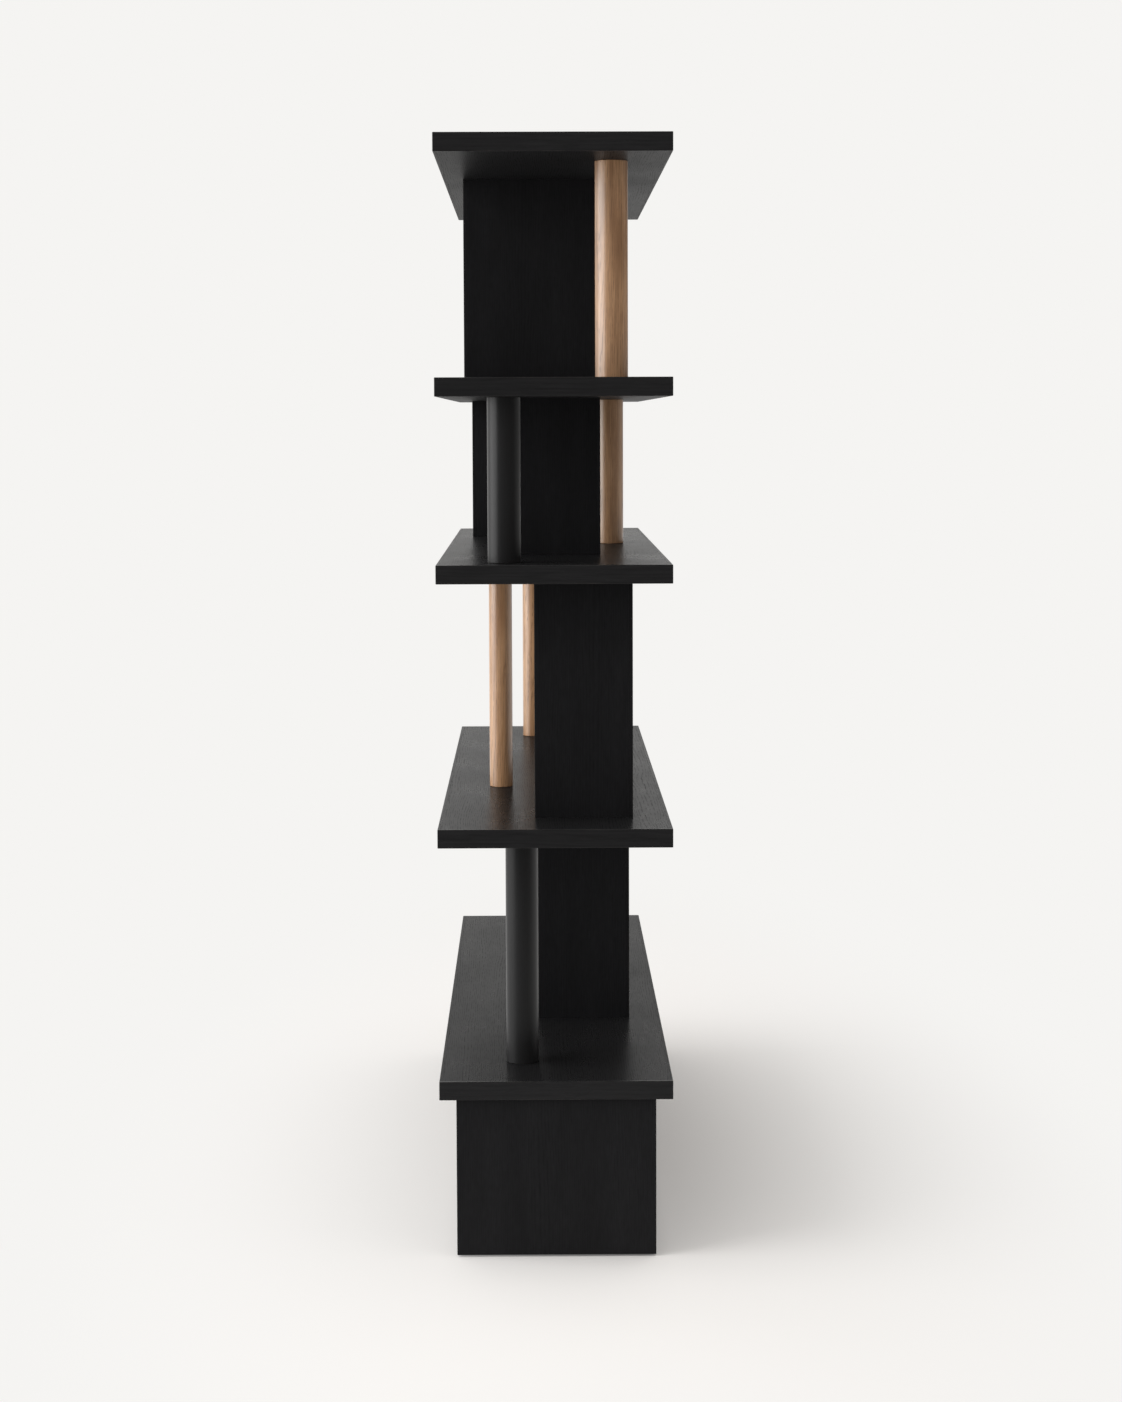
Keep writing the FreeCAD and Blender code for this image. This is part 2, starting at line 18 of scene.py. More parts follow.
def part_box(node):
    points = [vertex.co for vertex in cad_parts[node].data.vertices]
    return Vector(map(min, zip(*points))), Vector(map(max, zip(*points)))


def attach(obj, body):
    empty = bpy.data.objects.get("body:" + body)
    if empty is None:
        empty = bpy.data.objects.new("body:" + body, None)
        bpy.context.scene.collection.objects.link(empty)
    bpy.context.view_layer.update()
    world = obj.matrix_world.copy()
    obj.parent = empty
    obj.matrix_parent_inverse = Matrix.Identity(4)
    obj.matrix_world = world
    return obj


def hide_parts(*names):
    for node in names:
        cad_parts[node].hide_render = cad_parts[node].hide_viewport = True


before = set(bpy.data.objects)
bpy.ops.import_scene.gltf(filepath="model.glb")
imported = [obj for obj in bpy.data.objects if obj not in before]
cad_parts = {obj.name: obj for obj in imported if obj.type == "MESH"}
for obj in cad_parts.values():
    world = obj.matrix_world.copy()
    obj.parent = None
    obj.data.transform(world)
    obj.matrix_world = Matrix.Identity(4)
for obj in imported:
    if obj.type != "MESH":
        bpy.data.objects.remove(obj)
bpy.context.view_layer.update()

ROOT = "root"
LOG = logging.getLogger("spine_bookshelf")
FULL_TONE = 255

# Face attributes of a modelled piece, which its finish reads
EASED = "eased"
UNDER = "under"

# Socket types of the shared node groups
FLOAT = "NodeSocketFloat"
VECTOR = "NodeSocketVector"

# How near to an axis a normal lies on a square face, on a level face and on the flats of a turned piece
SQUARE = 0.999
LEVEL = 0.9
TURNED_SLACK = 0.02

Colour = tuple[float, float, float, float]
Triple = tuple[float, float, float]
Span = tuple[float, float]
Piece = bpy.types.Object
Socket = bpy.types.NodeSocket
Sockets = bpy.types.NodeOutputs
Input = Union[float, tuple, Socket]
EdgeTest = Callable[[Vector, Vector], bool]
NormalTest = Callable[[Vector], bool]


def tone(red: int, green: int, blue: int) -> Colour:
    """Turns display tones of 0 to 255 into the linear colour that a shader takes, with full alpha."""
    shown = Color([part / FULL_TONE for part in (red, green, blue)])
    return (*shown.from_srgb_to_scene_linear(), 1.0)


def in_painted_shade(colour: Colour, share: float) -> Colour:
    """Gives a linear colour at a share of its brightness, which paints shade into it."""
    return (*(part * share for part in colour[:3]), 1.0)


class GrainRun(Enum):
    """The way that the wood grain runs on a piece, as the turn that lays it along the pattern's X."""

    ALONG = (0.0, 0.0, 0.0)
    ACROSS = (0.0, 0.0, -math.pi / 2)
    UPRIGHT = (0.0, math.pi / 2, 0.0)


class Slot(Enum):
    """Names of material slots: black stained oak, natural oak and felt."""

    BLACK_OAK = "black_stained_oak"
    NATURAL_OAK = "natural_oak"
    FELT = "felt"


@dataclass(frozen=True)
class Noise:
    """A noise: how each axis is scaled before it, its features in a metre over that, and its octaves."""

    stretch: Input = (1.0, 1.0, 1.0)
    scale: Input = 1.0
    detail: float = 2.0


class Graph:
    """A node tree with short calls that add, set and link its nodes."""

    def __init__(self, tree: bpy.types.NodeTree) -> None:
        """Keeps the tree that the calls work on."""
        self.tree = tree

    def add(self, kind: str, inputs: Optional[dict] = None, **settings: object) -> bpy.types.Node:
        """Adds one node.

        Args:
            kind: Blender's name of the node type.
            inputs: Socket name or number to a plain value, or to the socket that feeds it.
            **settings: Properties of the node itself.

        Returns:
            The new node.
        """
        node = self.tree.nodes.new(kind)
        for name, value in settings.items():
            setattr(node, name, value)
        for name, value in (inputs or {}).items():
            if isinstance(value, Socket):
                self.tree.links.new(value, node.inputs[name])
            else:
                node.inputs[name].default_value = value
        return node

    def calc(self, operation: str, first: Input, second: Input = 0.0) -> Socket:
        """Adds a Math node and gives its result."""
        return self.add("ShaderNodeMath", {0: first, 1: second}, operation=operation).outputs[0]

    def times(self, first: Input, second: Input) -> Socket:
        """Multiplies two values."""
        return self.calc("MULTIPLY", first, second)

    def plus(self, first: Input, second: Input) -> Socket:
        """Adds two values."""
        return self.calc("ADD", first, second)

    def most(self, first: Input, second: Input) -> Socket:
        """Gives the greater of two values."""
        return self.calc("MAXIMUM", first, second)

    def vector(self, operation: str, first: Input, second: Input) -> Socket:
        """Adds a Vector Math node and gives its vector."""
        return self.add("ShaderNodeVectorMath", {0: first, 1: second}, operation=operation).outputs[0]

    def dot(self, first: Input, second: Input) -> Socket:
        """Adds a Vector Math node for the dot product and gives its value."""
        node = self.add("ShaderNodeVectorMath", {0: first, 1: second}, operation="DOT_PRODUCT")
        return node.outputs["Value"]

    def remap(self, value: Input, span: Span, to: Span = (0.0, 1.0), how: str = "LINEAR") -> Socket:
        """Adds a clamped Map Range node, from one span to another, and gives its result."""
        ends = {"From Min": span[0], "From Max": span[1], "To Min": to[0], "To Max": to[1]}
        return self.add("ShaderNodeMapRange", {"Value": value, **ends}, interpolation_type=how).outputs[0]

    def blend(self, factor: Input, first: Input, second: Input) -> Socket:
        """Adds a Mix node for colours, whose sockets go by number, and gives its result."""
        return self.add("ShaderNodeMix", {0: factor, 6: first, 7: second}, data_type="RGBA").outputs[2]

    def noise(self, vector: Input, kind: Noise) -> Sockets:
        """Adds a noise texture over a stretched vector.

        Args:
            vector: The coordinates.
            kind: The noise's values, or the sockets that feed them.

        Returns:
            The texture's outputs.
        """
        laid = self.add("ShaderNodeMapping", {"Vector": vector, "Scale": kind.stretch})
        inputs = {"Vector": laid.outputs[0], "Scale": kind.scale, "Detail": kind.detail}
        return self.add("ShaderNodeTexNoise", inputs).outputs

    def attribute(self, name: str) -> Socket:
        """Reads a face attribute of the piece."""
        return self.add("ShaderNodeAttribute", attribute_name=name).outputs["Fac"]

    def bump(self, height: Input, strength: float, depth: float) -> Socket:
        """Adds a Bump node and gives its normal."""
        inputs = {"Strength": strength, "Distance": depth, "Height": height}
        return self.add("ShaderNodeBump", inputs).outputs[0]


class SharedGroup:
    """A shader node group that several finishes use, built once and placed with its own values."""

    name: ClassVar[str] = ""
    ins: ClassVar[dict[str, str]] = {}
    outs: ClassVar[tuple[str, ...]] = ()

    def tree(self) -> bpy.types.NodeTree:
        """Gives the group, and builds it the first time.

        Returns:
            The group's node tree.
        """
        made = bpy.data.node_groups.get(self.name)
        if made:
            return made
        group = bpy.data.node_groups.new(self.name, "ShaderNodeTree")
        for name, kind in self.ins.items():
            group.interface.new_socket(name, in_out="INPUT", socket_type=kind)
        for name in self.outs:
            group.interface.new_socket(name, in_out="OUTPUT", socket_type=FLOAT)
        graph = Graph(group)
        entry = graph.add("NodeGroupInput")
        graph.add("NodeGroupOutput", self.wire(graph, entry.outputs))
        return group

    def wire(self, graph: Graph, entry: Sockets) -> dict[str, Socket]:
        """Wires the group's inside. Each group has its own."""
        raise NotImplementedError

    def place(self, graph: Graph, inputs: dict[str, Input]) -> Sockets:
        """Puts the group into a material and gives its outputs."""
        return graph.add("ShaderNodeGroup", inputs, node_tree=self.tree()).outputs


class WoodGrain(SharedGroup):
    """Open-grained wood: contour lines of growth, fine fibres, pores in the early wood and broad streaks.

    The pattern runs along X of the vector that it is given.
    """

    name = "wood_grain"
    ins = {
        "Vector": VECTOR,
        "Figure Scale": FLOAT,
        "Growth Lines": FLOAT,
        "Line Pitch": FLOAT,
        "Fibre Stretch": VECTOR,
        "Fibre Scale": FLOAT,
        "Pore Scale": FLOAT,
        "Streak Scale": FLOAT,
    }
    outs = ("Figure", "Fibre", "Pores", "Streaks")
    wander = Noise(stretch=(2.6, 9.0, 9.0), detail=5.0)
    wander_middle = (0.5, 0.5, 0.5)
    wander_reach = (0.0, 0.02, 0.02)
    row_slope = (0.0, 1.0, 0.6)
    hills = Noise(stretch=(0.03, 1.0, 1.0), detail=3.0)
    fibres = Noise(detail=4.0)
    breaks = Noise(stretch=(0.14, 1.0, 1.0), detail=2.0)
    streaks = Noise(stretch=(0.09, 1.0, 1.0), detail=3.0)
    early_wood = (0.78, 0.98)
    broken = (0.42, 0.58)

    def wire(self, graph: Graph, entry: Sockets) -> dict[str, Socket]:
        """Wires the pattern.

        Args:
            graph: The group's graph.
            entry: The group's input sockets.

        Returns:
            The socket for each output.
        """
        wander = graph.noise(entry["Vector"], self.wander)["Color"]
        centred = graph.vector("SUBTRACT", wander, self.wander_middle)
        sway = graph.vector("MULTIPLY", centred, self.wander_reach)
        swayed = graph.vector("ADD", entry["Vector"], sway)

        rows = graph.times(graph.dot(swayed, self.row_slope), entry["Line Pitch"])
        hills = graph.noise(swayed, replace(self.hills, scale=entry["Figure Scale"]))[0]
        turns = graph.plus(rows, graph.times(hills, entry["Growth Lines"]))
        figure = graph.remap(graph.calc("SINE", turns), (-1.0, 1.0))

        fibres = replace(self.fibres, stretch=entry["Fibre Stretch"], scale=entry["Fibre Scale"])
        fibre = graph.noise(swayed, fibres)[0]
        breaks = graph.noise(swayed, replace(self.breaks, scale=entry["Pore Scale"]))[0]
        pores = graph.times(graph.remap(figure, self.early_wood), graph.remap(breaks, self.broken))
        streaks = graph.noise(swayed, replace(self.streaks, scale=entry["Streak Scale"]))[0]
        return {"Figure": figure, "Fibre": fibre, "Pores": pores, "Streaks": streaks}


class EdgeWear(SharedGroup):
    """Rubbed arrises: an uneven mask over the eased faces of a piece."""

    name = "edge_wear"
    ins = {"Vector": VECTOR, "Eased": FLOAT, "Amount": FLOAT}
    outs = ("Wear",)
    patches = Noise(scale=34.0, detail=4.0)
    patch_span = (0.42, 0.68)
    worn_span = (0.15, 1.0)

    def wire(self, graph: Graph, entry: Sockets) -> dict[str, Socket]:
        """Wires the mask."""
        worn = graph.remap(graph.noise(entry["Vector"], self.patches)[0], self.patch_span, self.worn_span)
        return {"Wear": graph.times(graph.times(worn, entry["Eased"]), entry["Amount"])}


class Handling(SharedGroup):
    """Cloudy unevenness of a wiped-on finish, with a few finer smears."""

    name = "handling"
    ins = {"Vector": VECTOR}
    outs = ("Cloud",)
    broad = Noise(stretch=(1.0, 2.2, 2.2), scale=3.4, detail=3.0)
    smears = Noise(stretch=(1.0, 5.0, 5.0), scale=16.0, detail=2.0)
    shares = ((broad, 0.7), (smears, 0.3))
    cloud_span = (0.3, 0.7)

    def wire(self, graph: Graph, entry: Sockets) -> dict[str, Socket]:
        """Wires the clouds."""
        parts = [graph.times(graph.noise(entry["Vector"], kind)[0], share) for kind, share in self.shares]
        return {"Cloud": graph.remap(graph.plus(*parts), self.cloud_span)}


@dataclass(frozen=True)
class Finish:
    """A finish, whose material is built once. Its colours are linear."""

    name: str

    def material(self) -> bpy.types.Material:
        """Gives the finish's material, and builds it the first time.

        Returns:
            The material.
        """
        made = bpy.data.materials.get(self.name)
        if made:
            return made
        material = bpy.data.materials.new(self.name)
        material.use_nodes = True
        material.node_tree.nodes.clear()
        graph = Graph(material.node_tree)
        place = graph.add("ShaderNodeTexCoord").outputs["Object"]
        graph.add("ShaderNodeOutputMaterial", {"Surface": self.surface(graph, place)})
        return material

    def surface(self, graph: Graph, place: Socket) -> Socket:
        """Wires the shader over the piece's coordinates. Each kind of finish has its own."""
        raise NotImplementedError


@dataclass(frozen=True)
class WoodFinish(Finish):
    """One wood finish, with the way that its grain runs.

    Shift moves the pattern, so that a lipping doesn't carry on its board's figure.
    """

    body: Colour
    late_wood: Colour
    pore: Colour
    streak: Colour
    worn: Colour
    roughness: float
    pore_roughness: float
    specular: float
    run: GrainRun = GrainRun.ALONG
    shift: Triple = (0.0, 0.0, 0.0)
    coat: float = 0.0
    coat_roughness: float = 0.3
    figure_scale: float = 9.0
    growth_lines: float = 58.0
    line_spacing: float = 0.0065
    fibre_stretch: float = 0.03
    fibre_scale: float = 420.0
    pore_scale: float = 170.0
    streak_scale: float = 26.0
    figure_share: float = 0.6
    cloud_share: float = 0.0
    fibre_span: Span = (0.36, 0.66)
    fibre_share: float = 0.3
    streak_span: Span = (0.45, 0.72)
    streak_share: float = 0.5
    pore_share: float = 0.8
    uneven: float = 0.03
    under_roughness: float = 0.0
    fibre_height: float = 0.35
    ridge_height: float = 0.25
    pore_depth: float = 0.5
    bump_strength: float = 0.35
    bump_depth: float = 0.0003
    wear: float = 0.5

    def laid(self, run: GrainRun) -> "WoodFinish":
        """Gives the same finish with its grain along one run, under its own name."""
        return replace(self, name=f"{self.name}_{run.name.lower()}", run=run)

    def surface(self, graph: Graph, place: Socket) -> Socket:
        """Wires the wood.

        Args:
            graph: The material's graph.
            place: The piece's coordinates.

        Returns:
            The shader socket.
        """
        laid = {"Vector": place, "Rotation": self.run.value, "Location": self.shift}
        vector = graph.add("ShaderNodeMapping", laid).outputs[0]
        pattern = {
            "Vector": vector,
            "Figure Scale": self.figure_scale,
            "Growth Lines": self.growth_lines,
            "Line Pitch": 2 * math.pi / self.line_spacing,
            "Fibre Stretch": (self.fibre_stretch, 1.0, 1.0),
            "Fibre Scale": self.fibre_scale,
            "Pore Scale": self.pore_scale,
            "Streak Scale": self.streak_scale,
        }
        grain = WoodGrain().place(graph, pattern)
        cloud = Handling().place(graph, {"Vector": vector})["Cloud"]
        rubbing = {"Vector": vector, "Eased": graph.attribute(EASED), "Amount": self.wear}
        wear = EdgeWear().place(graph, rubbing)["Wear"]
        inputs = {
            "Base Color": self.colour(graph, grain, cloud, wear),
            "Roughness": self.gloss(graph, grain, cloud),
            "Specular IOR Level": self.specular,
            "Coat Weight": self.coat,
            "Coat Roughness": self.coat_roughness,
            "Normal": self.relief(graph, grain),
        }
        return graph.add("ShaderNodeBsdfPrincipled", inputs).outputs[0]

    def colour(self, graph: Graph, grain: Sockets, cloud: Socket, wear: Socket) -> Socket:
        """Wires the colour, from the body colour up to the worn arrises.

        Args:
            graph: The material's graph.
            grain: The grain group's outputs.
            cloud: The unevenness of the finish.
            wear: The mask of the worn arrises.

        Returns:
            The colour socket.
        """
        layers = (
            (graph.times(grain["Figure"], self.figure_share), self.late_wood),
            (graph.times(cloud, self.cloud_share), self.late_wood),
            (graph.remap(grain["Streaks"], self.streak_span, (0.0, self.streak_share)), self.streak),
            (graph.remap(grain["Fibre"], self.fibre_span, (0.0, self.fibre_share)), self.late_wood),
            (graph.times(grain["Pores"], self.pore_share), self.pore),
            (wear, self.worn),
        )
        colour = self.body
        for share, upper in layers:
            colour = graph.blend(share, colour, upper)
        return colour

    def gloss(self, graph: Graph, grain: Sockets, cloud: Socket) -> Socket:
        """Wires the roughness: satin wood, duller in its pores and underside, uneven where wiped.

        Args:
            graph: The material's graph.
            grain: The grain group's outputs.
            cloud: The unevenness of the finish.

        Returns:
            The roughness socket.
        """
        wiped = graph.remap(cloud, (0.0, 1.0), (self.roughness - self.uneven, self.roughness + self.uneven))
        dull = graph.times(grain["Pores"], self.pore_roughness)
        beneath = graph.times(graph.attribute(UNDER), self.under_roughness)
        return graph.plus(graph.plus(wiped, dull), beneath)

    def relief(self, graph: Graph, grain: Sockets) -> Socket:
        """Wires the bump: open pores that sink in, over low fibres and growth lines.

        Args:
            graph: The material's graph.
            grain: The grain group's outputs.

        Returns:
            The normal socket.
        """
        fibres = graph.times(grain["Fibre"], self.fibre_height)
        ridges = graph.times(grain["Figure"], self.ridge_height)
        sunk = graph.times(grain["Pores"], self.pore_depth)
        height = graph.calc("SUBTRACT", graph.plus(fibres, ridges), sunk)
        return graph.bump(height, self.bump_strength, self.bump_depth)


@dataclass(frozen=True)
class MetalFinish(Finish):
    """Plated or turned metal with fine brushing and a little tarnish."""

    body: Colour
    tarnish: Colour
    roughness: float
    tarnish_share: float = 0.6
    rings: Noise = Noise(stretch=(0.1, 0.1, 1.0), scale=2400.0, detail=2.0)
    ring_span: Span = (0.3, 0.7)
    brushing: Span = (-0.06, 0.1)
    bump_strength: float = 0.15
    bump_depth: float = 0.0001

    def surface(self, graph: Graph, place: Socket) -> Socket:
        """Wires the metal.

        Args:
            graph: The material's graph.
            place: The piece's coordinates.

        Returns:
            The shader socket.
        """
        cloud = Handling().place(graph, {"Vector": place})["Cloud"]
        rings = graph.noise(place, self.rings)[0]
        brushed = tuple(self.roughness + step for step in self.brushing)
        inputs = {
            "Base Color": graph.blend(graph.times(cloud, self.tarnish_share), self.body, self.tarnish),
            "Metallic": 1.0,
            "Roughness": graph.remap(rings, self.ring_span, brushed),
            "Normal": graph.bump(rings, self.bump_strength, self.bump_depth),
        }
        return graph.add("ShaderNodeBsdfPrincipled", inputs).outputs[0]


@dataclass(frozen=True)
class FeltFinish(Finish):
    """Pressed wool felt: mottled, matt and fuzzy."""

    body: Colour
    fleck: Colour
    sheen: float = 0.3
    matting: Noise = Noise(stretch=(1.0, 1.0, 1.4), scale=900.0, detail=4.0)
    fleck_span: Span = (0.35, 0.68)
    matt_span: Span = (0.3, 0.7)
    roughness: Span = (0.86, 0.98)
    bump_strength: float = 0.6
    bump_depth: float = 0.0004

    def surface(self, graph: Graph, place: Socket) -> Socket:
        """Wires the felt.

        Args:
            graph: The material's graph.
            place: The piece's coordinates.

        Returns:
            The shader socket.
        """
        matted = graph.noise(place, self.matting)[0]
        inputs = {
            "Base Color": graph.blend(graph.remap(matted, self.fleck_span), self.body, self.fleck),
            "Roughness": graph.remap(matted, self.matt_span, self.roughness),
            "Sheen Weight": self.sheen,
            "Normal": graph.bump(matted, self.bump_strength, self.bump_depth),
        }
        return graph.add("ShaderNodeBsdfPrincipled", inputs).outputs[0]


@dataclass(frozen=True)
class PaperFinish(Finish):
    """The studio's paper, which fades into the backdrop away from the bookshelf and in front of it."""

    body: Colour
    cloudy: Colour
    backdrop: Colour
    clouds: Noise = Noise(scale=5.0, detail=3.0)
    cloud_span: Span = (0.3, 0.7)
    cloud_share: float = 0.04
    roughness: float = 0.9
    fade_middle: Triple = (0.0, 0.1, 0.0)
    fade_shape: Triple = (0.3, 1.0, 1.0)
    fade_end: float = 0.97
    front_span: Span = (0.9, 1.75)

    def surface(self, graph: Graph, place: Socket) -> Socket:
        """Wires the paper and the glow that it fades into.

        Args:
            graph: The material's graph.
            place: The floor's coordinates.

        Returns:
            The shader socket.
        """
        clouds = graph.noise(place, self.clouds)[0]
        share = graph.remap(clouds, self.cloud_span, (0.0, self.cloud_share))
        inputs = {
            "Base Color": graph.blend(share, self.body, self.cloudy),
            "Roughness": self.roughness,
            "Specular IOR Level": 0.0,
        }
        matt = graph.add("ShaderNodeBsdfPrincipled", inputs).outputs[0]
        glow = graph.add("ShaderNodeEmission", {"Color": self.backdrop, "Strength": 1.0}).outputs[0]
        away = graph.vector("MULTIPLY", graph.vector("SUBTRACT", place, self.fade_middle), self.fade_shape)
        reach = graph.add("ShaderNodeVectorMath", {0: away}, operation="LENGTH").outputs["Value"]
        all_round = graph.remap(reach, (0.0, self.fade_end), how="SMOOTHSTEP")
        forward = graph.add("ShaderNodeSeparateXYZ", {0: place}).outputs["X"]
        fade = graph.most(all_round, graph.remap(forward, self.front_span))
        return graph.add("ShaderNodeMixShader", {0: fade, 1: matt, 2: glow}).outputs[0]


# The black stain on open-grained oak, as the shelves' boards and side lippings have it
BLACK_OAK = WoodFinish(
    "black_oak",
    body=tone(35, 35, 36),
    late_wood=tone(27, 27, 28),
    pore=tone(16, 16, 16),
    streak=tone(39, 39, 40),
    worn=tone(60, 58, 56),
    roughness=0.285,
    pore_roughness=0.1,
    specular=0.014,
    growth_lines=120.0,
    line_spacing=0.0034,
    pore_scale=300.0,
    figure_share=0.2,
    fibre_share=0.2,
    streak_share=0.3,
    pore_share=0.6,
    under_roughness=0.1,
    bump_strength=0.14,
)
BLACK_BOARD = BLACK_OAK.laid(GrainRun.ALONG)
BLACK_SIDE = replace(BLACK_BOARD, name="black_oak_along_lip", shift=(0.41, 0.13, 0.07))

# The shelves' end lippings, whose grain runs across and hardly shows; their body is lighter than the
# boards', which is painted light on the ends
BLACK_END = replace(
    BLACK_OAK.laid(GrainRun.ACROSS),
    # A lighter body than the boards' black stain: painted light
    body=tone(42, 42, 43),
    specular=0.1,
    fibre_stretch=0.05,
    cloud_share=0.4,
    fibre_share=0.4,
    pore_share=0.2,
)

# The upright boards, whose closer grain takes the stain almost evenly, and their lippings
BLACK_UPRIGHT = replace(
    BLACK_OAK.laid(GrainRun.UPRIGHT),
    body=tone(35, 35, 37),
    late_wood=tone(20, 20, 21),
    pore=tone(14, 14, 14),
    streak=tone(39, 39, 41),
    roughness=0.5,
    specular=0.07,
    fibre_stretch=0.14,
    cloud_share=0.55,
    fibre_share=0.34,
    pore_share=0.3,
)
BLACK_UPRIGHT_LIP = replace(BLACK_UPRIGHT, name="black_oak_upright_lip", shift=(0.23, 0.09, 0.31))

# The black posts, which the lathe leaves smoother and glossier
BLACK_TURNED = replace(
    BLACK_OAK,
    name="black_oak_upright_turned",
    run=GrainRun.UPRIGHT,
    body=tone(37, 37, 38),
    roughness=0.34,
    pore_roughness=0.02,
    specular=0.27,
    figure_share=0.1,
    fibre_share=0.1,
    pore_share=0.15,
    streak_share=0.15,
    bump_strength=0.08,
)

# The unfinished softwood inside the plinth
TIMBER = WoodFinish(
    "plain_timber",
    body=tone(206, 178, 138),
    late_wood=tone(182, 146, 102),
    pore=tone(150, 116, 78),
    streak=tone(190, 158, 116),
    worn=tone(214, 190, 156),
    roughness=0.68,
    pore_roughness=0.08,
    specular=0.3,
    figure_scale=16.0,
    growth_lines=46.0,
    pore_share=0.3,
)

# The beech of the dowels
BEECH = WoodFinish(
    "beech",
    body=tone(212, 178, 142),
    late_wood=tone(194, 156, 120),
    pore=tone(150, 112, 82),
    streak=tone(202, 166, 130),
    worn=tone(216, 186, 152),
    roughness=0.6,
    pore_roughness=0.06,
    specular=0.35,
    figure_scale=40.0,
    growth_lines=24.0,
    pore_scale=300.0,
    pore_share=0.4,
)

ZINC = MetalFinish("zinc_plate", body=tone(186, 190, 196), tarnish=tone(140, 146, 154), roughness=0.34)
BRASS = MetalFinish("turned_brass", body=tone(206, 172, 96), tarnish=tone(160, 126, 62), roughness=0.3)
FELT = FeltFinish("pressed_felt", body=tone(58, 57, 56), fleck=tone(84, 82, 80))
PAPER = PaperFinish(
    "studio_paper", body=tone(246, 244, 242), cloudy=tone(236, 234, 230), backdrop=tone(245, 244, 242)
)

# How far the pattern moves from one length of oak to the next
OAK_STEP = (0.31, 0.17, 0.0)


def natural_oak(length: int, share: float) -> WoodFinish:
    """The clear-oiled oak of the posts, with its grain upright.

    Args:
        length: Which length of oak a post is turned from, each with its own figure.
        share: The share of the palest oak's colours that the post is darkened to, as painted shade.

    Returns:
        The finish.
    """
    return WoodFinish(
        f"natural_oak_{length}",
        run=GrainRun.UPRIGHT,
        shift=tuple(step * length for step in OAK_STEP),
        # Each colour but the worn one is darkened by the share: painted shade
        body=in_painted_shade(tone(206, 162, 121), share),
        late_wood=in_painted_shade(tone(168, 124, 86), share),
        pore=in_painted_shade(tone(108, 74, 48), share),
        streak=in_painted_shade(tone(140, 99, 66), share),
        worn=tone(208, 172, 136),
        roughness=0.31,
        pore_roughness=0.1,
        specular=0.8,
        coat=0.6,
        coat_roughness=0.28,
        figure_scale=26.0,
        growth_lines=90.0,
        line_spacing=0.0036,
        fibre_scale=520.0,
        pore_scale=480.0,
        streak_scale=70.0,
        figure_share=0.28,
        fibre_share=0.7,
        streak_span=(0.46, 0.66),
        streak_share=0.7,
        pore_share=0.6,
        bump_strength=0.3,
        bump_depth=0.0002,
    )


def square_on(normal: Vector) -> bool:
    """Tells a face that looks straight along an axis."""
    return max(abs(part) for part in normal) > SQUARE


def level_or_upright(normal: Vector) -> bool:
    """Tells a face of a turned piece that is level or upright."""
    return abs(normal.z) > 1 - TURNED_SLACK or abs(normal.z) < TURNED_SLACK


def looks_down(normal: Vector) -> bool:
    """Tells a face on the underside."""
    return normal.z < -LEVEL


